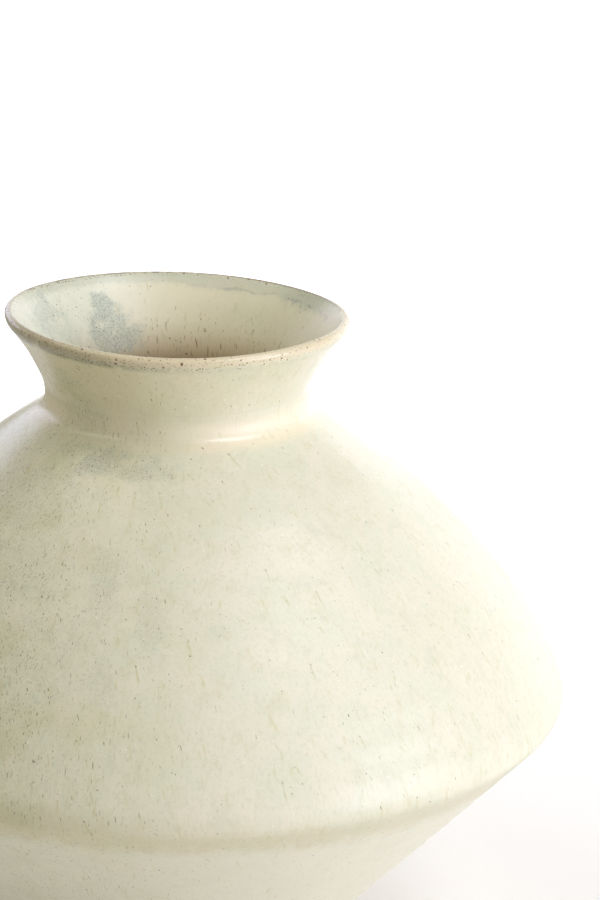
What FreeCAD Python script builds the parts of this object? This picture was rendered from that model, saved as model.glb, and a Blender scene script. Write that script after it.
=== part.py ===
"""A stoneware moon jar with a flared neck, as its maker builds it: turned pieces luted together with slip.

Millimetres, +Z up, origin at the centre of the foot's resting face.
Every outline below lies in the half plane of radius (x) and height (z) and is turned about Z.
"""
import FreeCAD
import Part
import math
import os

# Heights, each measured from the one before it
foot_height = 8.5        # ground to the top of the foot ring
bowl_rise = 112.7        # base of the bowl to the widest circle
shoulder_rise = 134.0    # widest circle to the waist of the neck
neck_rise = 34.0         # waist to the lip's outermost circle

# Outside radii
foot_radius = 62.5       # foot ring, at its top
base_radius = 69.6       # where the bowl's side meets the round of its base
belly_radius = 173.6     # widest circle
waist_radius = 57.5      # narrowest circle of the neck
mouth_radius = 75.0      # lip's outermost circle

# Rounds of the outside, as the radius of the arc that leaves each upright circle
belly_round = 27.0       # belly, turning in above the widest circle
shoulder_round = 233.0   # lower half of the shoulder
belly_edge_round = 6.0   # the soft edge under the widest circle
neck_blend = 8.0         # hollow between shoulder and neck
waist_round = 21.0       # hollow of the neck above its waist
lip_underside_round = 5.5
lip_round = 2.1          # top edge of the lip
base_edge_round = 7.0

# Which way the outside faces where those rounds end, in degrees above the horizontal.
# 0 faces straight out, 90 straight up and -90 straight down.
bowl_tilt = -43.8
belly_tilt = 27.2
shoulder_tilt = 43.0
neck_root_tilt = 57.0
waist_tilt = -26.0
lip_underside_tilt = -42.0

# Wall thicknesses
floor_wall = 9.0
bowl_wall = 8.0
belly_wall = 6.4
shoulder_wall = 6.0
neck_root_wall = 5.8
waist_wall = 5.5
flare_wall = 5.2

# Inside of the bowl
floor_flat_radius = 62.0  # where the flat floor starts to turn up
floor_turn_share = 0.75   # how far down the bowl's outside the inside starts to turn, from belly to base
inner_edge_rise = 1.0     # inner corner above the widest circle

# Foot ring
foot_width = 10.5         # at its top
foot_taper = 1.8          # how far each side leans in towards the ground
foot_edge_round = 1.2     # softened edges of the resting face

# Slip joints: a V-shaped tongue in a V-shaped groove, with slip between
slip_gap = 0.8
belly_tongue_depth = 3.0
belly_tongue_half_width = 2.2
neck_tongue_depth = 2.2
neck_tongue_half_width = 1.5
belly_key_share = 0.78    # how far in from the widest circle the tongue lies, as a share of the wall there
neck_key_share = 0.2      # the same from the waist
foot_tongue_depth = 2.0
foot_tongue_half_width = 2.4
neck_joint_share = 0.83   # height of the neck's joint, as a share of the hollow's own drop from the waist
seam_coil_radius = 6.0    # coil of clay pressed over the belly's joint, inside

handle_share = 0.35       # length of a curve's end handles, as a share of its chord
overrun = 10.0            # how far cutting shapes reach past the wall

base_height = foot_height + slip_gap
belly_height = base_height + bowl_rise
waist_height = belly_height + shoulder_rise
mouth_height = waist_height + neck_rise


def facing(tilt):
    """Radius and height parts of the outward direction at that tilt."""
    return math.cos(math.radians(tilt)), math.sin(math.radians(tilt))


def along_round(station, bend, tilt):
    """Station where an arc that leaves the given one faces a new tilt. A hollow arc has a negative bend."""
    radius, height, old_tilt = station
    old_out, old_up = facing(old_tilt)
    out, up = facing(tilt)
    return radius + bend * (out - old_out), height + bend * (up - old_up), tilt


def inside(station, wall):
    """The station of the inner face, one wall thickness behind an outer one."""
    radius, height, tilt = station
    out, up = facing(tilt)
    return radius - wall * out, height - wall * up, tilt


def at(radius, height):
    return FreeCAD.Vector(radius, 0, height)


def span(start, end, travel=1):
    """Smooth curve between two stations that follows the wall at both ends.

    travel is 1 where the section's edge goes up the outside, and -1 where it comes down the inside.
    """
    first, last = at(*start[:2]), at(*end[:2])
    reach = first.distanceToPoint(last) * handle_share * travel
    headings = []
    for station in (start, end):
        out, up = facing(station[2])
        headings.append(at(-up, out) * reach)
    curve = Part.BezierCurve()
    curve.setPoles([first, first + headings[0], last - headings[1], last])
    return curve.toShape()


def line(start, end):
    return Part.makeLine(at(*start[:2]), at(*end[:2]))


def face_of(edges):
    return Part.Face(Part.Wire(edges))


def polygon(points):
    return Part.Face(Part.makePolygon([at(*p) for p in points + points[:1]]))


def turned(section):
    """The solid that a section makes when it is turned once about Z."""
    solid = section.revolve(FreeCAD.Vector(), FreeCAD.Vector(0, 0, 1), 360)
    return Part.Solid(solid.Shells[0])


# Stations of the outside, from the base up to the lip. Each is its radius, its height and its tilt.
belly = (belly_radius, belly_height, 0)
belly_edge = along_round(belly, belly_edge_round, bowl_tilt)
belly_top = along_round(belly, belly_round, belly_tilt)
shoulder = along_round(belly_top, shoulder_round, shoulder_tilt)
waist = (waist_radius, waist_height, 0)
neck_root = along_round(waist, -neck_blend, neck_root_tilt)
waist_top = along_round(waist, -waist_round, waist_tilt)
lip = (mouth_radius, mouth_height, 0)
lip_underside = along_round(lip, lip_underside_round, lip_underside_tilt)
lip_top = along_round(lip, lip_round, 90)
lip_inside = along_round(lip, lip_round, lip_underside_tilt + 180)
base_rise = base_edge_round * (facing(bowl_tilt)[1] - facing(-90)[1])
base_edge = (base_radius, base_height + base_rise, bowl_tilt)
underside = along_round(base_edge, base_edge_round, -90)
outer_stations = [underside, base_edge, belly_edge, belly, belly_top, shoulder, neck_root,
                  waist, waist_top, lip_underside, lip, lip_top, lip_inside]

# Stations of the inside, from the lip down to the floor. They face as the outside does.
mouth_inside = (lip_inside[0], lip_inside[1], lip_underside_tilt)
inner_corner_radius = belly_radius - belly_wall
inner_corner_height = belly_height + inner_edge_rise
inner_corner = (inner_corner_radius, inner_corner_height, 0)
neck_and_shoulder_inside = [
    mouth_inside,
    inside(waist_top, flare_wall),
    inside(waist, waist_wall),
    inside(neck_root, neck_root_wall),
    inside(shoulder, shoulder_wall),
    inside(belly_top, shoulder_wall),
    inner_corner,
]
bowl_turn_outside = [
    top + (bottom - top) * floor_turn_share for top, bottom in zip(belly_edge, base_edge)
]
floor_height = base_height + floor_wall
bowl_inside = [
    (inner_corner_radius, inner_corner_height, bowl_tilt),
    inside(bowl_turn_outside, bowl_wall),
    (floor_flat_radius, floor_height, -90),
]


def wall_section():
    """Section of the whole clay wall, floor to lip, before it is divided into the thrown pieces."""
    edges = [span(a, b) for a, b in zip(outer_stations, outer_stations[1:])]
    for stations in (neck_and_shoulder_inside, bowl_inside):
        edges += [span(a, b, travel=-1) for a, b in zip(stations, stations[1:])]
    edges.append(line(bowl_inside[-1], (0, floor_height)))
    edges.append(line((0, floor_height), (0, base_height)))
    edges.append(line((0, base_height), underside))
    return face_of(edges)


def joint_line(height, key_radius, half_width, depth):
    """Points of a joint's profile across the wall, from the axis out, with its V pointing down."""
    return [
        (0, height),
        (key_radius - half_width, height),
        (key_radius, height - depth),
        (key_radius + half_width, height),
        (belly_radius + overrun, height),
    ]


def between(lower, upper):
    """Region between two joint lines."""
    return polygon(lower + upper[::-1])


def section_below(line_points):
    bottom = -overrun
    return between([(0, bottom), (belly_radius + overrun, bottom)], line_points)


def section_above(line_points):
    top = mouth_height + overrun
    return between(line_points, [(0, top), (belly_radius + overrun, top)])


def raised(line_points, rise):
    return [(radius, height + rise) for radius, height in line_points]


# Where the belly's and the neck's joints lie, at the underside of their slip
belly_joint_height = belly_height + belly_edge_round * facing(bowl_tilt / 2)[1] - slip_gap / 2
belly_key_radius = belly_radius - belly_wall * belly_key_share
belly_joint = joint_line(
    belly_joint_height, belly_key_radius, belly_tongue_half_width, belly_tongue_depth
)
neck_joint_height = waist_height + (neck_root[1] - waist_height) * neck_joint_share - slip_gap / 2
neck_key_radius = waist_radius - waist_wall * neck_key_share
neck_joint = joint_line(
    neck_joint_height, neck_key_radius, neck_tongue_half_width, neck_tongue_depth
)

# The foot's joint, at the top of the foot ring, with its V pointing up into the base
foot_key_radius = foot_radius - foot_width / 2
foot_joint = joint_line(
    foot_height, foot_key_radius, foot_tongue_half_width, -foot_tongue_depth
)


def foot_ring():
    inner_radius = foot_radius - foot_width
    block = polygon([
        (foot_radius - foot_taper, 0),
        (foot_radius, foot_height + foot_tongue_depth),
        (inner_radius, foot_height + foot_tongue_depth),
        (inner_radius + foot_taper, 0),
    ])
    ring = turned(block.common(section_below(foot_joint)))
    resting_edges = [
        e for e in ring.Edges if e.BoundBox.ZMax < foot_edge_round and e.BoundBox.XLength > foot_width
    ]
    return ring.makeFillet(foot_edge_round, resting_edges)


def foot_slip():
    band = between(foot_joint, raised(foot_joint, slip_gap))
    ring_space = polygon([
        (foot_radius, 0),
        (foot_radius, base_height + overrun),
        (foot_radius - foot_width, base_height + overrun),
        (foot_radius - foot_width, 0),
    ])
    return turned(band.common(ring_space))


def lower_bowl():
    groove = section_below(raised(foot_joint, slip_gap))
    return turned(wall_section().common(section_below(belly_joint)).cut(groove))


def belly_slip():
    return turned(wall_section().common(between(belly_joint, raised(belly_joint, slip_gap))))


def seam_coil():
    """Coil of clay pressed over the belly's joint from inside. Its middle is the joint's inner end."""
    slip = wall_section().common(between(belly_joint, raised(belly_joint, slip_gap)))
    middle = at(slip.BoundBox.XMin, belly_joint_height + slip_gap / 2)
    circle = Part.Circle(middle, FreeCAD.Vector(0, 1, 0), seam_coil_radius)
    disc = face_of([circle.toShape()])
    return turned(disc.cut(wall_section()))


def upper_bowl():
    room = between(raised(belly_joint, slip_gap), neck_joint)
    return turned(wall_section().common(room))


def neck_slip():
    return turned(wall_section().common(between(neck_joint, raised(neck_joint, slip_gap))))


def neck_collar():
    return turned(wall_section().common(section_above(raised(neck_joint, slip_gap))))


os.makedirs("parts", exist_ok=True)
for piece in (foot_ring, foot_slip, lower_bowl, belly_slip, seam_coil, upper_bowl, neck_slip, neck_collar):
    piece().exportStep(f"parts/{piece.__name__}.step")
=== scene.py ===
"""Looks of the moon jar: hand-thrown stoneware under a satin, iron-speckled cream glaze."""
import math
import bpy
import numpy as np
from mathutils import Matrix, Vector


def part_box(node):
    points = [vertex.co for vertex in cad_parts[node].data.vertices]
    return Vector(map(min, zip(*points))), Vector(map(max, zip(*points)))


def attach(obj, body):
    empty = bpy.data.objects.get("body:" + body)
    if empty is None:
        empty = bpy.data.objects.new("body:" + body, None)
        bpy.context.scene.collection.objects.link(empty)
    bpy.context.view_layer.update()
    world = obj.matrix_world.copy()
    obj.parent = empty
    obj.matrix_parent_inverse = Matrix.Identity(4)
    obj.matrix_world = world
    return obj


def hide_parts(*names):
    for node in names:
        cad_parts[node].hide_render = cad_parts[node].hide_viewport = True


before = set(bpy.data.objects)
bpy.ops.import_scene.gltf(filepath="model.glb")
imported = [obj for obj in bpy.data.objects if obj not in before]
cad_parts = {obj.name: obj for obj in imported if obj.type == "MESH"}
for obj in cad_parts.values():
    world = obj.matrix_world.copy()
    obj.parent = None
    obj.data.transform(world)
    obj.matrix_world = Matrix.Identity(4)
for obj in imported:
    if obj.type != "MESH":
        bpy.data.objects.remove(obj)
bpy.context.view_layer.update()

mm = 0.001
full_turn = 2 * math.pi

# Sizes of the wall, in metres, read from the frame where it has them
belly_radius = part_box("upper_bowl")[1][0]
mouth_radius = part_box("neck_collar")[1][0]
foot_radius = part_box("foot_slip")[1][0]
foot_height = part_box("foot_slip")[0][2]
base_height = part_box("lower_bowl")[0][2]
slip_gap = base_height - foot_height
neck_joint_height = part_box("neck_slip")[1][2] - slip_gap
belly_joint_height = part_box("belly_slip")[1][2] - slip_gap
lip_round = 2.1 * mm
neck_rise = 34.0 * mm
shoulder_rise = 134.0 * mm
mouth_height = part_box("neck_collar")[1][2] - lip_round
waist_height = mouth_height - neck_rise
belly_height = waist_height - shoulder_rise
waist_radius = 57.5 * mm
base_radius = 69.6 * mm

# Rounds of the wall, and the way it faces where they end, in degrees above the horizontal
belly_round = 27.0 * mm
shoulder_round = 233.0 * mm
belly_edge_round = 6.0 * mm
neck_blend = 8.0 * mm
waist_round = 21.0 * mm
lip_underside_round = 5.5 * mm
base_edge_round = 7.0 * mm
bowl_tilt = -43.8
belly_tilt = 27.2
shoulder_tilt = 43.0
neck_root_tilt = 57.0
waist_tilt = -26.0
lip_underside_tilt = -42.0
underside_tilt = -90.0

# Thicknesses of the wall, and where its inside turns
floor_wall = 9.0 * mm
bowl_wall = 8.0 * mm
belly_wall = 6.4 * mm
shoulder_wall = 6.0 * mm
neck_root_wall = 5.8 * mm
waist_wall = 5.5 * mm
flare_wall = 5.2 * mm
floor_flat_radius = 62.0 * mm
floor_turn_share = 0.75
inner_edge_rise = 1.0 * mm

# Foot and coil
foot_width = 10.5 * mm
foot_taper = 1.8 * mm
foot_edge_round = 1.2 * mm
seam_coil_radius = 6.0 * mm

# Keys of the joints: the radius, half width and depth of each V
belly_key_share = 0.78
neck_key_share = 0.2
belly_key = (belly_radius - belly_wall * belly_key_share, 2.2 * mm, 3.0 * mm)
neck_key = (waist_radius - waist_wall * neck_key_share, 1.5 * mm, 2.2 * mm)
foot_key = (foot_radius - foot_width / 2, 2.4 * mm, -2.0 * mm)

# Both sides of the slip at the belly and at the neck: the height and key of each
belly_joint = (belly_joint_height, belly_key)
belly_joint_top = (belly_joint_height + slip_gap, belly_key)
neck_joint = (neck_joint_height, neck_key)
neck_joint_top = (neck_joint_height + slip_gap, neck_key)

# How finely the surface is modelled
columns = 320             # points round the jar
longest_step = 1.6 * mm   # between points along the wall
largest_bend = 7          # degrees that the wall turns from one point to the next
sharpest_bend = 28        # degrees, above which a bend is shaded as a corner
floor_points = 24
corner_points = 9
coil_points = 73
handle_share = 0.35       # length of a curve's end handles, as a share of its chord
axis_reach = 0.01 * mm    # a point this near the axis is on it

# Waves of the rim: how many go round it, and their cosine and sine parts in millimetres
rim_waves = ((1, -1.45, 0.0), (2, 0.57, -0.33), (3, -0.10, -0.30))

# Lobes of the wall: how many go round it, their depth, the climb in which they turn, and their start
lobes = ((3, 0.22 * mm, 23 * mm, 0), (5, 0.18 * mm, -15 * mm, 2))

# Throwing rings, which climb the wall as a spiral
ring_depth = 0.10 * mm
ring_pitch = 11 * mm
ring_sway = 0.8
ring_sway_climb = 40 * mm
true_height = 20 * mm     # below this the wall gets truer towards the ground


def facing(tilt):
    """Outward and upward parts of the direction at that tilt."""
    return math.cos(math.radians(tilt)), math.sin(math.radians(tilt))


def along_round(station, bend, tilt):
    """Station where an arc that leaves the given one faces a new tilt. A hollow arc has a negative bend."""
    radius, height, old_tilt = station
    old_out, old_up = facing(old_tilt)
    out, up = facing(tilt)
    return radius + bend * (out - old_out), height + bend * (up - old_up), tilt


def inside(station, wall):
    """The station of the inner face, one wall thickness behind an outer one."""
    radius, height, tilt = station
    out, up = facing(tilt)
    return radius - wall * out, height - wall * up, tilt


def span(start, end, travel=1):
    """Points of the smooth curve between two stations, without its last. travel is -1 on the way down."""
    first = np.array(start[:2])
    last = np.array(end[:2])
    chord = np.linalg.norm(last - first)
    handles = []
    for station in (start, end):
        out, up = facing(station[2])
        handles.append(np.array((-up, out)) * chord * handle_share * travel)
    bend = abs(end[2] - start[2])
    count = max(2, math.ceil(chord / longest_step), math.ceil(bend / largest_bend))
    t = np.linspace(0, 1, count, endpoint=False)[:, None]
    return ((1 - t) ** 3 * first + 3 * (1 - t) ** 2 * t * (first + handles[0])
            + 3 * (1 - t) * t ** 2 * (last - handles[1]) + t ** 3 * last)


def chain(stations, travel=1):
    """Curves from each station to the next."""
    return [span(a, b, travel) for a, b in zip(stations, stations[1:])]


def measured(points, start=0.0):
    """The points with a third value, the length of the run up to each."""
    steps = np.linalg.norm(np.diff(points, axis=0), axis=1)
    run = start + np.concatenate(([0.0], np.cumsum(steps)))
    return np.column_stack((points, run))


# Stations of the outside, from the base up to the lip. Each is its radius, its height and its tilt.
belly = (belly_radius, belly_height, 0)
belly_edge = along_round(belly, belly_edge_round, bowl_tilt)
belly_top = along_round(belly, belly_round, belly_tilt)
shoulder = along_round(belly_top, shoulder_round, shoulder_tilt)
waist = (waist_radius, waist_height, 0)
neck_root = along_round(waist, -neck_blend, neck_root_tilt)
waist_top = along_round(waist, -waist_round, waist_tilt)
lip = (mouth_radius, mouth_height, 0)
lip_underside = along_round(lip, lip_underside_round, lip_underside_tilt)
lip_top = along_round(lip, lip_round, 90)
lip_inside = along_round(lip, lip_round, lip_underside_tilt + 180)
base_rise = base_edge_round * (facing(bowl_tilt)[1] - facing(underside_tilt)[1])
base_edge = (base_radius, base_height + base_rise, bowl_tilt)
underside = along_round(base_edge, base_edge_round, underside_tilt)
outer_stations = [underside, base_edge, belly_edge, belly, belly_top, shoulder, neck_root,
                  waist, waist_top, lip_underside, lip, lip_top, lip_inside]

# Stations of the inside, from the lip down to the floor
inner_corner = (belly_radius - belly_wall, belly_height + inner_edge_rise)
floor_height = base_height + floor_wall
bowl_turn_outside = [
    top + (bottom - top) * floor_turn_share for top, bottom in zip(belly_edge, base_edge)
]
upper_inside_stations = [
    (lip_inside[0], lip_inside[1], lip_underside_tilt),
    inside(waist_top, flare_wall),
    inside(waist, waist_wall),
    inside(neck_root, neck_root_wall),
    inside(shoulder, shoulder_wall),
    inside(belly_top, shoulder_wall),
    (*inner_corner, 0),
]
bowl_inside_stations = [
    (*inner_corner, bowl_tilt),
    inside(bowl_turn_outside, bowl_wall),
    (floor_flat_radius, floor_height, underside_tilt),
]

# Lines of the wall. Each point is its radius, its height and its place along the run of the glaze.
outer_line = measured(np.vstack(chain(outer_stations) + [[lip_inside[:2]]]))
floor_line = [[floor_flat_radius * share, floor_height] for share in np.linspace(1, 0, floor_points)]
inner_line = measured(
    np.vstack(chain(upper_inside_stations, -1) + chain(bowl_inside_stations, -1) + [floor_line]),
    outer_line[-1, 2],
)
lip_run = outer_line[np.argmax(outer_line[:, 1]), 2]
belly_run = outer_line[np.argmax(outer_line[:, 0]), 2]


def crossing(line, height):
    """Index after which the line passes that height, and its point there."""
    above = line[:, 1] > height
    index = int(np.nonzero(above[:-1] != above[1:])[0][0])
    a, b = line[index], line[index + 1]
    return index, a + (b - a) * (height - a[1]) / (b[1] - a[1])


def stretch(line, start_height=None, end_height=None):
    """Part of a line between two heights. None is the line's own end."""
    first, last = 0, len(line)
    head, tail = [], []
    if start_height is not None:
        index, point = crossing(line, start_height)
        first, head = index + 1, [point]
    if end_height is not None:
        index, point = crossing(line, end_height)
        last, tail = index + 1, [point]
    return np.array(head + list(line[first:last]) + tail)


def key_points(joint, run):
    """Points of a joint's V from outside to inside."""
    height, (radius, half_width, depth) = joint
    return np.array([
        (radius + half_width, height, run),
        (radius, height - depth, run),
        (radius - half_width, height, run),
    ])


def wall_section(lower_joint, upper_joint):
    """Section of the wall between two joints."""
    outside = stretch(outer_line, lower_joint[0], upper_joint[0])
    inside_part = stretch(inner_line, upper_joint[0], lower_joint[0])
    top = key_points(upper_joint, outside[-1, 2])
    bottom = key_points(lower_joint, outside[0, 2])
    return np.vstack((outside, top, inside_part, bottom[::-1]))


def neck_section():
    height = neck_joint_top[0]
    outside = stretch(outer_line, height)
    inside_part = stretch(inner_line, None, height)[1:]
    return np.vstack((outside, inside_part, key_points(neck_joint_top, outside[0, 2])[::-1]))


def bowl_section():
    outside = stretch(outer_line, None, belly_joint_height)
    inside_part = stretch(inner_line, belly_joint_height)
    top = key_points(belly_joint, outside[-1, 2])
    groove = key_points((base_height, foot_key), 0.0)
    return np.vstack((outside, top, inside_part, [(0.0, base_height, 0.0)], groove[::-1]))


def foot_slip_section():
    inner_radius = foot_radius - foot_width
    low = [(foot_radius, foot_height, 0.0), *key_points((foot_height, foot_key), 0.0),
           (inner_radius, foot_height, 0.0)]
    high = [(radius, height + slip_gap, run) for radius, height, run in reversed(low)]
    return np.array(high + low)[::-1]


def rounded_corner(corner, before, after, bend):
    """Points of the round that replaces a corner between two neighbouring points."""
    corner, before, after = (np.array(p) for p in (corner, before, after))
    to_before = (before - corner) / np.linalg.norm(before - corner)
    to_after = (after - corner) / np.linalg.norm(after - corner)
    half_angle = math.acos(float(to_before @ to_after)) / 2
    reach = bend / math.tan(half_angle)
    start, end = corner + to_before * reach, corner + to_after * reach
    t = np.linspace(0, 1, corner_points)[:, None]
    weight = math.sin(half_angle)
    return (((1 - t) ** 2 * start + 2 * (1 - t) * t * weight * corner + t ** 2 * end)
            / ((1 - t) ** 2 + 2 * (1 - t) * t * weight + t ** 2))


def foot_section():
    inner_radius = foot_radius - foot_width
    outer_top, inner_top = (foot_radius, foot_height), (inner_radius, foot_height)
    outer_low, inner_low = (foot_radius - foot_taper, 0.0), (inner_radius + foot_taper, 0.0)
    points = np.vstack((
        [inner_top],
        rounded_corner(inner_low, inner_top, outer_low, foot_edge_round),
        rounded_corner(outer_low, inner_low, outer_top, foot_edge_round),
        [outer_top],
        key_points((foot_height, foot_key), 0.0)[:, :2],
    ))
    return measured(points)


def coil_section():
    """The pressed coil: the part of its round that stands out of the wall, closed along the wall."""
    _, middle = crossing(inner_line, belly_joint_height + slip_gap / 2)
    angles = np.linspace(0, full_turn, coil_points)
    circle = middle[:2] + seam_coil_radius * np.column_stack((np.cos(angles), np.sin(angles)))
    by_height = inner_line[::-1]
    wall_radius = np.interp(circle[:, 1], by_height[:, 1], by_height[:, 0])
    round_part = circle[circle[:, 0] < wall_radius]
    wall_part = stretch(inner_line, round_part[0, 1], round_part[-1, 1])[::-1]
    return measured(np.vstack((round_part, wall_part[1:-1, :2])), middle[2])


def hand_thrown(radius, height, angle):
    """How far the clay strays from a true round: outward and upward, in metres."""
    rim = np.clip((height - neck_root[1]) / (mouth_height - neck_root[1]), 0, 1)
    rim = rim * rim * (3 - 2 * rim)
    upward = np.zeros_like(radius * angle)
    for count, even, odd in rim_waves:
        upward = upward + mm * rim * (even * np.cos(count * angle) + odd * np.sin(count * angle))
    body = np.clip(radius / belly_radius, 0, 1) * np.clip(height / true_height, 0, 1)
    sway = ring_sway * np.sin(2 * angle + height / ring_sway_climb)
    outward = ring_depth * body * np.sin(full_turn * height / ring_pitch + angle + sway)
    for count, depth, climb, start in lobes:
        outward = outward + depth * body * np.sin(count * angle + height / climb + start)
    return outward, upward


def turned_points(section):
    """A row of points for each point of the section, turned about Z. A row on the axis has one point."""
    angles = np.arange(columns) * full_turn / columns
    rows = []
    for radius, height, _ in section:
        on_axis = radius < axis_reach
        here = angles[:1] if on_axis else angles
        outward, upward = hand_thrown(radius, height, here)
        reach = radius + outward * (not on_axis)
        rows.append(np.column_stack((reach * np.cos(here), reach * np.sin(here), height + upward)))
    return rows


def turned_faces(rows):
    """Faces between each row of points and the next, and between the last and the first."""
    counts = [len(row) for row in rows]
    starts = np.cumsum([0] + counts).tolist()
    around = [(i, (i + 1) % columns) for i in range(columns)]
    faces = []
    for row, count in enumerate(counts):
        after = (row + 1) % len(rows)
        a, b = starts[row], starts[after]
        if count == 1 and counts[after] == 1:
            continue
        if count == 1:
            faces += [(a, b + j, b + i) for i, j in around]
        elif counts[after] == 1:
            faces += [(a + i, a + j, b) for i, j in around]
        else:
            faces += [(a + i, a + j, b + j, b + i) for i, j in around]
    return faces


def mark_corners(mesh, section, row_of):
    """Keeps the shading crisp along the section's corners. row_of is the row that each point is in."""
    before = section[:, :2] - np.roll(section[:, :2], 1, axis=0)
    ahead = np.roll(before, -1, axis=0)
    sideways = before[:, 0] * ahead[:, 1] - before[:, 1] * ahead[:, 0]
    bend = np.abs(np.arctan2(sideways, (before * ahead).sum(axis=1)))
    corner_rows = bend > math.radians(sharpest_bend)
    ends = np.zeros(len(mesh.edges) * 2, dtype=np.int64)
    mesh.edges.foreach_get("vertices", ends)
    edge_rows = row_of[ends.reshape(-1, 2)]
    sharp = (edge_rows[:, 0] == edge_rows[:, 1]) & corner_rows[edge_rows[:, 0]]
    mesh.edges.foreach_set("use_edge_sharp", sharp)


def turned_object(name, section):
    """Closed piece made by turning a section about Z, with the clay's unevenness."""
    rows = turned_points(section)
    mesh = bpy.data.meshes.new(name)
    mesh.from_pydata(np.vstack(rows).tolist(), [], turned_faces(rows))
    mesh.shade_smooth()
    row_of = np.repeat(np.arange(len(rows)), [len(row) for row in rows])
    run = mesh.attributes.new("run", "FLOAT", "POINT")
    run.data.foreach_set("value", section[row_of, 2].astype(np.float32))
    mark_corners(mesh, section, row_of)
    obj = bpy.data.objects.new(name, mesh)
    bpy.context.scene.collection.objects.link(obj)
    return obj


class Nodes:
    """Writes shader nodes, so that a material reads as a formula. Inputs are sockets or plain values."""

    seed_steps = (0.31, 0.17, 0.23)   # metres between the patterns of two seeds, along each axis

    def __init__(self, name):
        self.material = bpy.data.materials.new(name)
        self.material.use_nodes = True
        self.tree = self.material.node_tree
        self.tree.nodes.clear()

    def add(self, kind, inputs=None, **settings):
        node = self.tree.nodes.new(kind)
        for key, value in settings.items():
            setattr(node, key, value)
        for key, value in (inputs or {}).items():
            self.feed(node.inputs[key], value)
        return node

    def feed(self, socket, value):
        if isinstance(value, bpy.types.NodeSocket):
            self.tree.links.new(value, socket)
        else:
            socket.default_value = value

    def math(self, operation, *values):
        node = self.add("ShaderNodeMath", dict(enumerate(values)), operation=operation)
        return node.outputs[0]

    def vector(self, operation, *values):
        node = self.add("ShaderNodeVectorMath", operation=operation)
        for place, value in enumerate(values):
            scaling = operation == "SCALE" and place == 1
            self.feed(node.inputs["Scale" if scaling else place], value)
        return node.outputs["Value" if operation in ("DOT_PRODUCT", "LENGTH") else "Vector"]

    def product(self, first, *others):
        for other in others:
            first = self.math("MULTIPLY", first, other)
        return first

    def larger(self, a, b):
        return self.math("MAXIMUM", a, b)

    def between(self, share, low, high):
        """The value low where the share is 0 and high where it is 1."""
        return self.math("MULTIPLY_ADD", share, high - low, low)

    def wander(self, noise, reach):
        """Noise of 0 to 1 turned into a value that strays half of that reach either side of 0."""
        return self.math("MULTIPLY_ADD", noise, reach, -reach / 2)

    def rise(self, value, start, end):
        """0 before start and 1 after end, smoothly. start may be above end."""
        node = self.add("ShaderNodeMapRange", {"Value": value, "From Min": start, "From Max": end},
                        interpolation_type="SMOOTHSTEP")
        return node.outputs["Result"]

    def near(self, value, middle, reach, core):
        """1 within core of the middle, falling to 0 at its reach."""
        return self.rise(self.math("ABSOLUTE", self.math("SUBTRACT", value, middle)), reach, core)

    def mix(self, share, a, b):
        node = self.add("ShaderNodeMix", data_type="RGBA")
        for name, kind, value in (("Factor", "VALUE", share), ("A", "RGBA", a), ("B", "RGBA", b)):
            self.feed([s for s in node.inputs if s.name == name and s.type == kind][0], value)
        return [s for s in node.outputs if s.type == "RGBA"][0]

    def noise(self, place, size, detail=3.0, roughness=0.5, seed=0.0):
        """Noise from 0 to 1 whose features are about that size in metres."""
        moved = self.vector("ADD", place, tuple(seed * step for step in self.seed_steps))
        node = self.add("ShaderNodeTexNoise", {
            "Vector": moved, "Scale": 1 / size, "Detail": detail, "Roughness": roughness,
        })
        return node.outputs["Fac"]

    def bump(self, height, distance, strength):
        node = self.add("ShaderNodeBump", {"Height": height, "Distance": distance, "Strength": strength})
        return node.outputs[0]

    def shader(self, colour, roughness, normal, others=None):
        node = self.add("ShaderNodeBsdfPrincipled", {
            "Base Color": colour, "Roughness": roughness, "Normal": normal, **(others or {}),
        })
        return node.outputs[0]

    def material_with(self, surface):
        self.add("ShaderNodeOutputMaterial", {"Surface": surface})
        return self.material


# Textures of the glaze: how much of the run counts, size of the features, detail, roughness and seed
textures = {
    "cloud": (0.6, 21 * mm, 4.0, 0.6, 1.0),
    "mottle": (0.45, 1.5 * mm, 3.0, 0.7, 2.0),
    "streak": (0.2, 6.5 * mm, 4.0, 0.6, 5.0),
    "edge": (0.6, 7 * mm, 4.0, 0.65, 6.0),
    "grit": (0.6, 0.6 * mm, 2.0, 0.7, 9.0),
    "olive": (0.8, 27 * mm, 3.0, 0.55, 21.0),
    "smear": (0.14, 1.8 * mm, 2.0, 0.5, 27.0),
    "blotch": (0.8, 11 * mm, 3.0, 0.55, 33.0),
    "tuft": (0.8, 15 * mm, 3.0, 0.6, 41.0),
}


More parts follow.
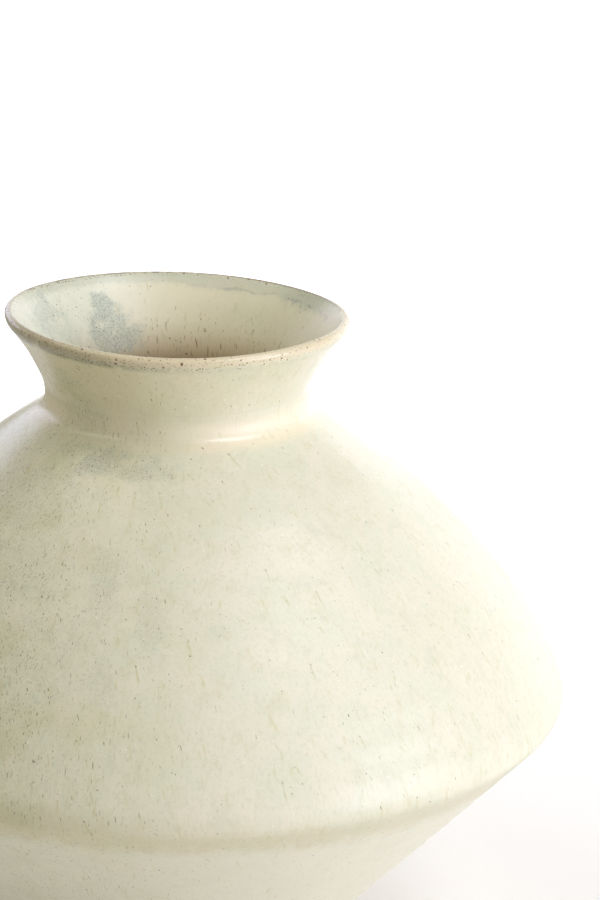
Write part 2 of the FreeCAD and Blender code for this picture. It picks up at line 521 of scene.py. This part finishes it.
class Surface:
    """Places on the jar: where a point is round the axis and along the run of the glaze."""

    def __init__(self, n):
        self.n = n
        self.place = n.add("ShaderNodeTexCoord").outputs["Object"]
        parts = n.add("ShaderNodeSeparateXYZ", {"Vector": self.place})
        self.x, self.y, self.z = parts.outputs
        self.run = n.add("ShaderNodeAttribute", attribute_name="run").outputs["Fac"]
        self.spread = self.along_run(self.run)
        flat = n.add("ShaderNodeCombineXYZ", {"X": self.x, "Y": self.y}).outputs[0]
        self.outward = n.vector("NORMALIZE", flat)
        ahead = n.add("ShaderNodeSeparateXYZ", {"Vector": self.outward})
        self.across = n.add("ShaderNodeCombineXYZ", {
            "X": n.math("MULTIPLY", ahead.outputs["Y"], -1.0), "Y": ahead.outputs["X"],
        }).outputs[0]

    def along_run(self, length):
        """Coordinates with the run of the glaze, or a share of it, in place of the height."""
        return self.n.add("ShaderNodeCombineXYZ", {"X": self.x, "Y": self.y, "Z": length}).outputs[0]

    def texture(self, name):
        """Noise of the glaze. Its features are drawn out along the run where less of the run counts."""
        run_share, *settings = textures[name]
        return self.n.noise(self.along_run(self.n.math("MULTIPLY", self.run, run_share)), *settings)

    def patch(self, centre, reach, ragged):
        """1 near a point, falling to 0 about that reach along each axis. ragged breaks its edge."""
        n = self.n
        away = n.vector("DIVIDE", n.vector("SUBTRACT", self.place, centre), reach)
        return n.rise(n.math("ADD", n.vector("LENGTH", away), ragged), *patch_ramp)


class Scatter:
    """Marks scattered one to a cell. across and along are a point's distances from its cell's mark."""

    seed_steps = (0.37, 0.71, 0.53)   # metres between the patterns of two seeds, along each axis
    drift_size = 5                    # how wide the bends in the rows of cells are, in cells
    drift_reach = 1.6                 # how far the bends go, in cells
    wall_reach = 0.45                 # how far behind a mark the wall may lie, in cells
    full_reach = 0.35                 # how far behind it the wall may lie without fading it, in cells
    lean = 0.25                       # how far marks tip to either side, as a slope
    smallest = 0.35                   # size of the smallest mark, where the largest is 1.35
    shortest_tail = 0.2               # length of the shortest run, where the longest is 1
    tail_girths = (0.4, 1.3)          # width of a run at its top and at its foot, as shares
    tail_start_ramp = (-0.03, 0.02)   # where a run starts, in lengths below its mark
    tail_fade = 0.6                   # how much of a run's length fades

    def __init__(self, surface, cell, seed, least=0.3, slant=0.0):
        """least is how strong the weakest mark is. slant tips all marks, as a slope."""
        n = surface.n
        self.n = n
        moved = n.vector("ADD", surface.spread, tuple(seed * step for step in self.seed_steps))
        drift = n.add("ShaderNodeTexNoise", {
            "Vector": moved, "Scale": 1 / (self.drift_size * cell), "Detail": 1.0,
        })
        moved = n.vector("ADD", moved, n.vector("SCALE", drift.outputs["Color"], self.drift_reach * cell))
        scaled = n.vector("SCALE", moved, 1 / cell)
        cells = n.add("ShaderNodeTexVoronoi", {"Vector": scaled, "Scale": 1.0})
        away = n.vector("SCALE", n.vector("SUBTRACT", scaled, cells.outputs["Position"]), cell)
        chances = n.add("ShaderNodeSeparateColor", {"Color": cells.outputs["Color"]})
        self.chance, self.size, self.depth = chances.outputs
        self.along = n.add("ShaderNodeSeparateXYZ", {"Vector": away}).outputs["Z"]
        tilt = n.between(self.depth, slant - self.lean, slant + self.lean)
        sideways = n.vector("DOT_PRODUCT", away, surface.across)
        self.across = n.math("MULTIPLY_ADD", self.along, tilt, sideways)
        behind = n.math("ABSOLUTE", n.vector("DOT_PRODUCT", away, surface.outward))
        self.in_wall = n.rise(behind, self.wall_reach * cell, self.full_reach * cell)
        self.strength = n.between(n.math("POWER", self.depth, 2.0), least, 1.0)

    def chosen(self, share):
        """Strength of the mark in the cells that hold one. share is how many do, and may be a socket."""
        held = self.n.math("LESS_THAN", self.chance, share)
        return self.n.product(self.in_wall, held, self.strength)

    def dot(self, share, half_width, half_length=None, softness=0.6):
        """Round or long marks."""
        n = self.n
        size = n.math("ADD", n.math("POWER", self.size, 2.0), self.smallest)
        wide = n.math("DIVIDE", self.across, n.product(size, half_width))
        high = n.math("DIVIDE", self.along, n.product(size, half_length or half_width))
        away = n.math("SQRT", n.math("ADD", n.math("POWER", wide, 2.0), n.math("POWER", high, 2.0)))
        return n.product(self.chosen(share), n.rise(away, 1.0, 1.0 - softness))

    def tail(self, share, half_width, length):
        """A run that starts at the mark, and widens and fades below it."""
        n = self.n
        down = n.math("DIVIDE", n.math("MULTIPLY", self.along, -1.0), length)
        length_share = n.between(self.size, self.shortest_tail, 1.0)
        remaining = n.math("SUBTRACT", 1.0, n.math("DIVIDE", down, length_share))
        top, foot = self.tail_girths
        girth = n.between(down, top * half_width, foot * half_width)
        wide = n.math("DIVIDE", n.math("ABSOLUTE", self.across), girth)
        body = n.product(n.rise(wide, 1.0, 0.0), n.rise(remaining, 0.0, self.tail_fade))
        below_mark = n.rise(down, *self.tail_start_ramp)
        return n.product(self.chosen(share), body, below_mark)


def tone(red, green, blue):
    """Shader colour from display values of 0 to 255."""
    def linear(value):
        share = value / 255
        return share / 12.92 if share <= 0.04045 else ((share + 0.055) / 1.055) ** 2.4
    return linear(red), linear(green), linear(blue), 1.0


# Tones of the glaze
pink_white = tone(225, 219, 195)
green_white = tone(219, 218, 192)
mottle_tone = tone(202, 200, 166)
streak_tone = tone(206, 200, 164)
olive_and_shade_tone = tone(206, 201, 160)
# Olive of the clouds, laid stronger towards the shaded left: partly painted shade
smear_tone = tone(202, 196, 148)
blotch_tone = tone(203, 204, 178)
# Warmer tone of the neck, laid much stronger on its shaded side: painted shade
neck_warmth_and_shade_tone = tone(212, 200, 160)
# Pale warm tone at the neck's root, laid on the lit side: a painted highlight
root_highlight_tone = tone(242, 227, 196)
# Paler tones inside the mouth, whiter at the left: painted light on the inner wall
mouth_light_tone = tone(240, 231, 200)
mouth_left_light_tone = tone(241, 241, 221)
# Browner, darker tone deep in the throat: painted shade
throat_shade_tone = tone(190, 160, 116)
# Paler tone below the belly: painted light thrown up from the floor
bowl_bounce_light_tone = tone(231, 228, 209)
# Tan band along the crease, laid stronger towards the shaded left: partly painted shade
crease_tan_and_shade_tone = tone(202, 190, 150)
mist_tone = tone(182, 189, 168)
mouth_mist_tone = tone(178, 191, 176)
# Darker tone under the lip on the shaded side: painted shade
pool_shade_tone = tone(144, 138, 112)
rim_band_tone = tone(189, 196, 176)
rim_line_tone = tone(150, 158, 150)
lip_tone = tone(216, 195, 154)
# Darker tone of the lip towards the left: painted shade
lip_left_shade_tone = tone(170, 154, 126)
edge_tone = tone(96, 70, 48)
wiped_tone = tone(188, 160, 126)

# Tones of the marks in the glaze
grit_tone = tone(104, 110, 92)
speck_tone = tone(96, 90, 64)
mouth_speck_tone = tone(66, 70, 58)
hair_tone = tone(142, 118, 74)
fuzz_tone = tone(118, 92, 56)
run_tone = tone(198, 190, 134)
tail_tone = tone(192, 183, 128)
head_tone = tone(104, 94, 62)
pin_tone = tone(72, 66, 50)
# Pale flecks that stand in for glints at pinholes: painted highlights
glint_fleck_tone = tone(243, 241, 228)
rust_tone = tone(122, 70, 42)
lip_spot_tone = tone(104, 50, 32)
lip_grain_tone = tone(92, 74, 50)

# Tones of the bare clay and of the paper round the jar
light_clay = tone(196, 170, 138)
dark_clay = tone(178, 148, 114)
clay_grain_tone = tone(140, 110, 82)
clay_iron_tone = tone(84, 54, 38)
floor_tone = tone(240, 236, 231)
wall_tone = tone(242, 242, 242)

# Where the mist lies: centre and reach in millimetres, and strength
mist_places = (
    ((-44, -50, 244), (16, 15, 7), 0.6),
    ((-32, -62, 243), (20, 16, 9), 0.8),
    ((-16, -70, 241), (20, 14, 7), 0.6),
    ((-64, -66, 229), (44, 40, 28), 0.5),
    ((-62, -92, 210), (30, 40, 30), 0.4),
    ((-66, -128, 178), (34, 40, 42), 0.35),
    ((-30, -112, 205), (9, 30, 26), 0.4),
    ((-10, -124, 195), (10, 24, 24), 0.35),
    ((-30, -141, 175), (9, 14, 20), 0.35),
    ((-40, -43, 260), (16, 14, 16), 0.45),
    ((-47, -42, 272), (14, 15, 10), 0.5),
    ((-35.5, 54, 283), (6, 9, 7), 1.1),
    ((-33, 50, 277), (9, 14, 9), 1.1),
    ((-34, 44, 268), (10, 14, 11), 1.0),
    ((-25, 49, 266), (12, 14, 10), 1.0),
    ((-29, 51, 274), (10, 13, 10), 1.0),
    ((-59, 26, 282), (18, 20, 14), 0.75),
    ((-56, 24, 276), (28, 28, 20), 0.35),
    ((-49, 31, 273), (13, 15, 12), 0.5),
    ((56, 38, 288), (20, 18, 7), 0.6),
)

# A ramp is where a share is 0 and where it is 1. A band is its middle, its reach and its full core.
# Ramps to the right of the axis
left_ramp = (30 * mm, -90 * mm)
far_left_ramp = (-28 * mm, -80 * mm)
shaded_ramp = (45 * mm, -45 * mm)
throat_left_ramp = (-24 * mm, -6 * mm)
throat_right_ramp = (62 * mm, 36 * mm)
mouth_left_ramp = (-8 * mm, -50 * mm)
mouth_right_ramp = (0.0, 45 * mm)
rim_line_right_ramp = (-10 * mm, 40 * mm)
lip_left_ramp = (-15 * mm, -65 * mm)
pool_grain_right_ramp = (80 * mm, 20 * mm)
rubbed_right_ramp = (-5 * mm, 45 * mm)

# Ramps behind the axis and in height
back_ramp = (-5 * mm, 35 * mm)
tuft_height_ramp = (130 * mm, 170 * mm)
gloss_height_ramp = (205 * mm, 236 * mm)
rough_waist_band = (waist_height + 0.5 * mm, 5.5 * mm, 3.0 * mm)
glaze_end_height = 12 * mm
glaze_end_sway = 2 * mm
glaze_end_ramp = (glaze_end_height, glaze_end_height - 0.4 * mm)

# Ramps and bands along the run of the glaze, from the lip: negative outside and positive inside
outside_ramp = (0.0, -1 * mm)
neck_band = (-24 * mm, 27 * mm, 15 * mm)
neck_root_band = (-47 * mm, 10 * mm, 3 * mm)
mouth_ramp = (1 * mm, 8 * mm)
throat_ramp = (22 * mm, 48 * mm)
throat_hair_ramp = (14 * mm, 30 * mm)
throat_rust_ramp = (18 * mm, 36 * mm)
pool_band = (-5.6 * mm, 4.6 * mm, 1.0 * mm)
pool_grain_band = (-5.6 * mm, 2.6 * mm, 1.0 * mm)
rim_band_top_ramp = (0.2 * mm, 1.2 * mm)
rim_band_end_ramp = (10.5 * mm, 4.5 * mm)
rim_line_band = (7.0 * mm, 1.3 * mm, 0.0)
lip_outer_ramp = (-6.5 * mm, -3.5 * mm)
lip_inner_ramp = (1.2 * mm, 0.4 * mm)
lip_spot_band = (-3.2 * mm, 4.4 * mm, 3.4 * mm)
back_spot_band = (0.6 * mm, 2.4 * mm, 1.4 * mm)
brown_edge_band = (0.0, 1.5 * mm, 0.6 * mm)
gloss_lip_ramp = (16 * mm, -4 * mm)

# The same from the belly, and how uneven the crease and the band inside the rim are
bowl_ramp = (-8 * mm, -26 * mm)
crease_top_ramp = (9 * mm, -8 * mm)
crease_foot_ramp = (-24 * mm, -8 * mm)
crease_sway = 22 * mm
crease_slope = 0.07         # how far the crease's band drops towards the right, per length
rim_cloud_sway = 7 * mm
rim_edge_sway = 5 * mm
rim_shaded_lift = 2.5 * mm  # how much less deep the rim's band is at the left

# Ramps of the textures
cloud_ramp = (0.38, 0.62)
hair_cloud_ramp = (0.40, 0.58)
mottle_ramp = (0.45, 0.72)
streak_ramp = (0.52, 0.72)
smear_streak_ramp = (0.42, 0.60)
mist_streak_ramp = (0.30, 0.55)
rim_line_streak_ramp = (0.42, 0.62)
pool_edge_ramp = (0.30, 0.52)
rubbed_edge_ramp = (0.42, 0.60)
olive_ramp = (0.47, 0.66)
smear_ramp = (0.56, 0.72)
blotch_ramp = (0.56, 0.72)
grit_ramp = (0.60, 0.76)
tuft_ramp = (0.45, 0.58)
patch_ramp = (1.15, 0.25)   # of a patch of mist, as shares of its reach
mist_raggedness = 2.4


def in_metres(lengths):
    return tuple(mm * length for length in lengths)


class Glaze:
    """Colour of the glaze, laid on layer over layer, and the shares of 0 to 1 that several layers use."""

    def __init__(self, n):
        s = Surface(n)
        self.n = n
        self.s = s
        self.colour = pink_white
        self.from_lip = n.math("SUBTRACT", s.run, lip_run)
        self.outside = n.rise(self.from_lip, *outside_ramp)
        self.in_mouth = n.math("SUBTRACT", 1.0, self.outside)
        self.back = n.rise(s.y, *back_ramp)
        self.left = n.rise(s.x, *left_ramp)
        self.shaded = n.rise(s.x, *shaded_ramp)
        self.throat_middle = n.product(n.rise(s.x, *throat_left_ramp), n.rise(s.x, *throat_right_ramp))
        self.cloud = s.texture("cloud")
        self.mottle = s.texture("mottle")
        self.streak = s.texture("streak")
        self.edge = s.texture("edge")
        self.pins = Scatter(s, cell=8 * mm, seed=13.0)
        uneven_height = n.math("ADD", s.z, n.math("MULTIPLY", self.cloud, glaze_end_sway))
        self.wiped = n.rise(uneven_height, *glaze_end_ramp)

    def lay(self, layer_tone, where, strength=1.0):
        """Lays a tone over the colour so far. where and strength are shares."""
        self.colour = self.n.mix(self.n.product(where, strength), self.colour, layer_tone)

    def lay_clouds(self):
        """Clouds of green-white and olive, the olive laid stronger towards the shaded left as painted
        shade, with mottle, streaks and smears drawn down the wall.
        """
        n, s = self.n, self.s
        self.lay(green_white, n.rise(self.cloud, *cloud_ramp))
        self.lay(mottle_tone, n.rise(self.mottle, *mottle_ramp), strength=0.42)
        self.lay(streak_tone, n.rise(self.streak, *streak_ramp), strength=0.30)
        olive = n.rise(s.texture("olive"), *olive_ramp)
        # painted shade: the olive is laid stronger on the shaded left
        self.lay(olive_and_shade_tone, olive, n.between(self.left, low=0.12, high=0.50))
        smears = n.product(n.rise(s.texture("smear"), *smear_ramp), n.rise(self.streak, *smear_streak_ramp))
        self.lay(smear_tone, smears, strength=0.4)
        self.lay(blotch_tone, n.rise(s.texture("blotch"), *blotch_ramp), strength=0.34)

    def lay_neck(self):
        """Warmer on the neck and darker on its shaded side as painted shade, paler at its root on the lit
        side as a painted highlight, paler inside the mouth as painted light, and browner down the throat as
        painted shade.
        """
        n, s = self.n, self.s
        on_neck = n.near(self.from_lip, *neck_band)
        # painted shade: the warm tone is laid much stronger on the shaded side
        self.lay(neck_warmth_and_shade_tone, on_neck, n.between(self.shaded, low=0.16, high=0.54))
        at_root = n.near(self.from_lip, *neck_root_band)
        # painted highlight: paler at the root on the lit side
        self.lay(root_highlight_tone, at_root, n.between(self.shaded, low=0.6, high=0.25))
        mouth_left = n.rise(s.x, *mouth_left_ramp)
        mouth_right = n.rise(s.x, *mouth_right_ramp)
        # painted light: the inside of the mouth is laid paler
        self.lay(n.mix(mouth_left, mouth_light_tone, mouth_left_light_tone),
                 n.rise(self.from_lip, *mouth_ramp), n.between(mouth_right, low=0.65, high=0.35))
        # painted shade: darker deep in the throat
        self.lay(throat_shade_tone, n.rise(self.from_lip, *throat_ramp), strength=0.8)

    def lay_belly(self):
        """Paler below the belly as painted light thrown up from the floor, with a tan band along the crease
        that is laid stronger towards the shaded left as partly painted shade.
        """
        n, s = self.n, self.s
        from_belly = n.math("SUBTRACT", s.run, belly_run)
        # painted bounce light: paler below the belly
        self.lay(bowl_bounce_light_tone, n.product(n.rise(from_belly, *bowl_ramp), self.outside), strength=0.45)
        level = n.math("MULTIPLY_ADD", s.x, crease_slope, from_belly)
        from_crease = n.math("ADD", level, n.wander(self.streak, crease_sway))
        band = n.product(n.rise(from_crease, *crease_top_ramp), n.rise(from_crease, *crease_foot_ramp))
        # partly painted shade: the crease band is laid stronger on the shaded left
        self.lay(crease_tan_and_shade_tone, n.product(band, self.outside), n.between(self.left, low=0.36, high=0.56))

    def lay_mist(self):
        """Blue-grey mist where the glaze pooled: in patches, at the left and under the lip, with painted
        shade under the lip on the shaded side.
        """
        n, s = self.n, self.s
        ragged = n.wander(self.edge, mist_raggedness)
        mist = n.product(self.left, n.rise(self.streak, *mist_streak_ramp), 0.28)
        for centre, reach, strength in mist_places:
            patch = s.patch(in_metres(centre), in_metres(reach), ragged)
            in_front = centre[1] < 0
            mist = n.larger(mist, n.product(patch, strength, self.outside if in_front else self.in_mouth))
        pool = n.product(n.near(self.from_lip, *pool_band),
                         n.between(self.left, low=0.25, high=1.55), n.rise(self.edge, *pool_edge_ramp))
        pool = n.math("MINIMUM", pool, 1.0)
        mist = n.larger(mist, pool)
        self.lay(n.mix(self.outside, mouth_mist_tone, mist_tone), mist, strength=0.48)
        # painted shade under the lip, on the shaded side only
        self.lay(pool_shade_tone, n.product(pool, self.shaded), strength=0.5)
        return mist

    def lay_specks(self, mist):
        """Grit and fine dark specks, thick in the mist and sparse elsewhere."""
        n, s = self.n, self.s
        grit = n.rise(n.math("MULTIPLY_ADD", mist, 0.16, s.texture("grit")), *grit_ramp)
        grit_strength = n.math("MULTIPLY_ADD", mist, n.between(self.outside, low=0.12, high=0.28),
                               n.between(self.left, low=0.16, high=0.29))
        self.lay(grit_tone, grit, grit_strength)
        specks = Scatter(s, cell=1.2 * mm, seed=3.0)
        share = n.math("MULTIPLY_ADD", mist, n.between(self.outside, low=0.44, high=0.34), 0.01)
        half_width = n.between(self.outside, low=0.38 * mm, high=0.26 * mm)
        half_length = n.between(self.outside, low=0.52 * mm, high=0.97 * mm)
        self.lay(n.mix(self.outside, mouth_speck_tone, speck_tone),
                 specks.dot(share, half_width, half_length), strength=0.95)

    def lay_rim_band(self):
        """Pale blue band inside the rim at the back, with a darker lower edge."""
        n, s = self.n, self.s
        uneven = n.math("ADD", n.wander(self.cloud, rim_cloud_sway), n.wander(self.edge, rim_edge_sway))
        uneven = n.math("MULTIPLY_ADD", self.shaded, rim_shaded_lift, uneven)
        depth = n.math("ADD", self.from_lip, uneven)
        band = n.product(n.rise(depth, *rim_band_end_ramp), n.rise(self.from_lip, *rim_band_top_ramp))
        self.lay(rim_band_tone, n.product(band, self.back), strength=0.42)
        patchy = n.product(n.rise(s.x, *rim_line_right_ramp), n.rise(self.streak, *rim_line_streak_ramp))
        line = n.product(n.near(depth, *rim_line_band), self.back)
        self.lay(rim_line_tone, n.product(line, n.between(patchy, low=0.15, high=0.95)), strength=0.6)

    def lay_hairs(self):
        """Brown hairs: in clusters at the left, down the throat, and as finer fuzz at the far left."""
        n, s = self.n, self.s
        clustered = n.between(n.rise(self.cloud, *hair_cloud_ramp), low=0.15, high=1.25)
        at_left = n.product(self.left, clustered, self.outside)
        down_throat = n.product(n.rise(self.from_lip, *throat_hair_ramp), self.throat_middle, 0.6)
        share = n.math("ADD", n.larger(at_left, down_throat), 0.04)
        hairs = Scatter(s, cell=2.5 * mm, seed=11.0)
        self.lay(hair_tone, hairs.dot(share, half_width=0.25 * mm, half_length=1.7 * mm), strength=0.78)
        far_left = n.product(n.rise(s.x, *far_left_ramp), n.rise(s.z, *tuft_height_ramp))
        tufts = n.product(n.rise(s.texture("tuft"), *tuft_ramp), far_left, self.outside)
        fuzz = Scatter(s, cell=1.5 * mm, seed=37.0, slant=-0.4)
        self.lay(fuzz_tone, fuzz.dot(tufts, half_width=0.21 * mm, half_length=1.25 * mm), strength=0.9)

    def lay_iron(self):
        """Soft runs, dark heads with a tail below them, pin specks, pale flecks as painted glints, and rust
        in the throat.
        """
        n, s = self.n, self.s
        runs = Scatter(s, cell=9 * mm, seed=19.0)
        soft_runs = runs.dot(share=0.7, half_width=0.95 * mm, half_length=5.0 * mm, softness=1.0)
        self.lay(run_tone, soft_runs, strength=0.55)
        heads = Scatter(s, cell=15 * mm, seed=7.0)
        self.lay(tail_tone, heads.tail(share=0.6, half_width=1.0 * mm, length=10 * mm), strength=0.6)
        dark_heads = heads.dot(share=0.6, half_width=0.42 * mm, half_length=0.8 * mm, softness=0.9)
        self.lay(head_tone, dark_heads, strength=0.8)
        self.lay(pin_tone, self.pins.dot(share=0.35, half_width=0.36 * mm))
        # painted glints: pale flecks
        flecks = Scatter(s, cell=4 * mm, seed=29.0)
        self.lay(glint_fleck_tone, flecks.dot(share=0.4, half_width=0.42 * mm), strength=0.8)
        down_throat = n.product(n.rise(self.from_lip, *throat_rust_ramp), self.throat_middle, 0.9)
        rust = Scatter(s, cell=5.5 * mm, seed=23.0)
        rusty = rust.dot(down_throat, half_width=0.6 * mm, half_length=4.0 * mm, softness=0.8)
        self.lay(rust_tone, rusty, strength=0.9)

    def lay_lip(self):
        """The lip, where the glaze is thin over the clay, darker towards the left as painted shade, with
        iron spots, grains and a brown back edge.
        """
        n, s = self.n, self.s
        on_lip = n.product(n.rise(self.from_lip, *lip_outer_ramp), n.rise(self.from_lip, *lip_inner_ramp))
        lip_left = n.rise(s.x, *lip_left_ramp)
        # painted shade: the lip is laid darker towards the left
        self.lay(n.mix(lip_left, lip_tone, lip_left_shade_tone), on_lip, strength=0.55)

        back_edge = n.near(self.from_lip, *back_spot_band)
        spotted = n.larger(n.near(self.from_lip, *lip_spot_band), n.product(back_edge, self.back))
        spots = Scatter(s, cell=3.4 * mm, seed=17.0, least=0.7)
        self.lay(lip_spot_tone, spots.dot(share=0.6, half_width=0.62 * mm, softness=0.5), spotted)

        on_pool = n.product(n.near(self.from_lip, *pool_grain_band), n.rise(s.x, *pool_grain_right_ramp))
        dusty = n.larger(n.product(spotted, n.between(self.shaded, low=0.4, high=0.9)), on_pool)
        grains = Scatter(s, cell=1.2 * mm, seed=31.0, least=0.6)
        grain_share = n.between(self.shaded, low=0.55, high=0.85)
        self.lay(lip_grain_tone, grains.dot(grain_share, half_width=0.42 * mm), dusty)

        rubbed = n.larger(n.rise(self.edge, *rubbed_edge_ramp), n.rise(s.x, *rubbed_right_ramp))
        brown = n.product(n.near(self.from_lip, *brown_edge_band), self.back)
        self.lay(edge_tone, brown, n.between(rubbed, low=0.06, high=0.62))

    def roughness(self):
        """Glossier up the shoulder and over the lip, rougher at the waist and on the bare clay."""
        n, s = self.n, self.s
        glossy = n.product(n.rise(s.z, *gloss_height_ramp), n.rise(self.from_lip, *gloss_lip_ramp))
        at_waist = n.near(s.z, *rough_waist_band)
        rough = n.between(self.mottle, low=0.34, high=0.50)
        for where, change in ((glossy, -0.18), (self.wiped, 0.4), (at_waist, 0.24)):
            rough = n.math("MULTIPLY_ADD", where, change, rough)
        return rough

    def bump(self):
        """Soft waves and mottle, with small pits at the pin specks."""
        n = self.n
        pits = self.pins.dot(share=0.45, half_width=0.45 * mm)
        height = n.noise(self.s.spread, size=6 * mm, detail=4.0, roughness=0.6, seed=8.0)
        height = n.math("MULTIPLY_ADD", pits, -0.6, height)
        height = n.math("MULTIPLY_ADD", self.mottle, 0.25, height)
        return n.bump(height, distance=0.12 * mm, strength=0.6)


def glaze_material():
    """Satin cream glaze with mist and iron specks, over clay that is bare below the wiped edge."""
    n = Nodes("speckled_glaze")
    coat = Glaze(n)
    coat.lay_clouds()
    coat.lay_neck()
    coat.lay_belly()
    mist = coat.lay_mist()
    coat.lay_specks(mist)
    coat.lay_rim_band()
    coat.lay_hairs()
    coat.lay_iron()
    coat.lay_lip()
    coat.lay(wiped_tone, coat.wiped)
    return n.material_with(n.shader(coat.colour, coat.roughness(), coat.bump(), {"IOR": 1.55}))


def clay_material():
    """Bare clay of the foot, with grain and iron specks."""
    n = Nodes("bare_clay")
    s = Surface(n)
    grain = n.noise(s.place, size=1.2 * mm, detail=4.0, roughness=0.6, seed=1.0)
    cloud = n.noise(s.place, size=14 * mm, seed=2.0)
    colour = n.mix(n.rise(cloud, start=0.35, end=0.65), light_clay, dark_clay)
    colour = n.mix(n.product(n.rise(grain, start=0.45, end=0.75), 0.4), colour, clay_grain_tone)
    iron = Scatter(s, cell=2.6 * mm, seed=5.0)
    colour = n.mix(iron.dot(share=0.3, half_width=0.35 * mm), colour, clay_iron_tone)
    rough_grain = n.bump(grain, distance=0.25 * mm, strength=0.7)
    return n.material_with(n.shader(colour, roughness=0.85, normal=rough_grain))


def paper_material(name, colour, glow, one_sided=False):
    """Pale paper. glow stands for the light that the rest of the room throws on it."""
    n = Nodes(name)
    fibre = n.noise(n.add("ShaderNodeTexCoord").outputs["Object"], size=3 * mm, detail=2.0)
    uneven = n.bump(fibre, distance=0.05 * mm, strength=0.3)
    surface = n.shader(colour, roughness=0.9, normal=uneven,
                       others={"Emission Color": glow, "Emission Strength": 1.0})
    if one_sided:
        clear = n.add("ShaderNodeBsdfTransparent").outputs[0]
        reverse = n.add("ShaderNodeNewGeometry").outputs["Backfacing"]
        surface = n.add("ShaderNodeMixShader", {0: reverse, 1: surface, 2: clear}).outputs[0]
    return n.material_with(surface)


# The eight pieces, with the node that each one dresses
glaze = glaze_material()
clay = clay_material()
pieces = {
    "neck": (neck_section(), "neck_collar", glaze),
    "neck_seam": (wall_section(neck_joint, neck_joint_top), "neck_slip", glaze),
    "shoulder": (wall_section(belly_joint_top, neck_joint), "upper_bowl", glaze),
    "belly_seam": (wall_section(belly_joint, belly_joint_top), "belly_slip", glaze),
    "inner_coil": (coil_section(), "seam_coil", glaze),
    "bowl": (bowl_section(), "lower_bowl", glaze),
    "foot_seam": (foot_slip_section(), "foot_slip", clay),
    "foot": (foot_section(), "foot_ring", clay),
}
for name, (section, node, material) in pieces.items():
    piece = turned_object(name, section)
    piece.data.materials.append(material)
    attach(piece, "root")
    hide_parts(node)

# Camera, placed as the photograph was taken. The columns of its axes point right, up and back.
scene = bpy.context.scene
camera_distance = 1.450619
camera_rise = 0.381713    # above the mouth
camera_axes = Matrix((
    (0.9993313, -0.00746166, -0.03579479),
    (-0.03206406, 0.2916809, -0.95597811),
    (0.01757384, 0.95648658, 0.2912466),
))
eye = Vector((0.0, -camera_distance, mouth_height + camera_rise))
camera_data = bpy.data.cameras.new("camera")
camera_data.lens = 137.93
camera_data.sensor_width = 36.0
camera = bpy.data.objects.new("camera", camera_data)
camera.matrix_world = Matrix.Translation(eye) @ camera_axes.to_4x4()
scene.collection.objects.link(camera)
scene.camera = camera

# Floor and backdrop, in metres
half_floor = 3.0
floor_glow = (0.035, 0.045, 0.05, 1.0)
wall_distance = 0.557
wall_left, wall_right, wall_top = -0.16, 0.90, 0.60
wall_glow = (0.55, 0.56, 0.62, 1.0)


def paper_sheet(name, corners, material):
    mesh = bpy.data.meshes.new(name)
    mesh.from_pydata(corners, [], [(0, 1, 2, 3)])
    mesh.materials.append(material)
    obj = bpy.data.objects.new(name, mesh)
    scene.collection.objects.link(obj)


paper_sheet("floor", [(-half_floor, -half_floor, 0), (half_floor, -half_floor, 0),
                      (half_floor, half_floor, 0), (-half_floor, half_floor, 0)],
            paper_material("floor_paper", floor_tone, floor_glow))
paper_sheet("backdrop", [(wall_left, wall_distance, 0), (wall_right, wall_distance, 0),
                         (wall_right, wall_distance, wall_top), (wall_left, wall_distance, wall_top)],
            paper_material("wall_paper", wall_tone, wall_glow, one_sided=True))

# Soft panels of light, and the even light of the room
light_target = Vector((0.03, 0, 0.2))
room_colour = (1.0, 0.955, 0.83, 1.0)
room_strength = 0.43


def soft_light(name, turn, lift, power, colour, width=1.0, height=1.0, distance=1.7):
    """Panel of light, turned to the right of the camera and lifted by those degrees, facing the jar."""
    across, up = math.radians(turn), math.radians(lift)
    away = Vector((math.sin(across) * math.cos(up), -math.cos(across) * math.cos(up), math.sin(up)))
    data = bpy.data.lights.new(name, "AREA")
    data.shape = "RECTANGLE"
    data.size = width
    data.size_y = height
    data.energy = power
    data.color = colour
    obj = bpy.data.objects.new(name, data)
    obj.location = light_target + distance * away
    obj.rotation_euler = (-away).to_track_quat("-Z", "Y").to_euler()
    scene.collection.objects.link(obj)


soft_light("low_panel", turn=60, lift=8, power=18.0, colour=(0.965, 1.005, 1.26))
soft_light("high_panel", turn=60, lift=55, power=8.6, colour=(0.985, 1.0, 1.12), height=0.45)
soft_light("far_panel", turn=-95, lift=60, power=4.3, colour=(1.0, 0.98, 0.84))
soft_light("rear_panel", turn=-140, lift=19, power=0.45, colour=(0.95, 0.97, 1.30),
           width=0.42, height=0.22, distance=0.58)
world = bpy.data.worlds.new("room")
world.use_nodes = True
background = world.node_tree.nodes["Background"]
background.inputs["Color"].default_value = room_colour
background.inputs["Strength"].default_value = room_strength
scene.world = world
scene.view_settings.view_transform = "Standard"
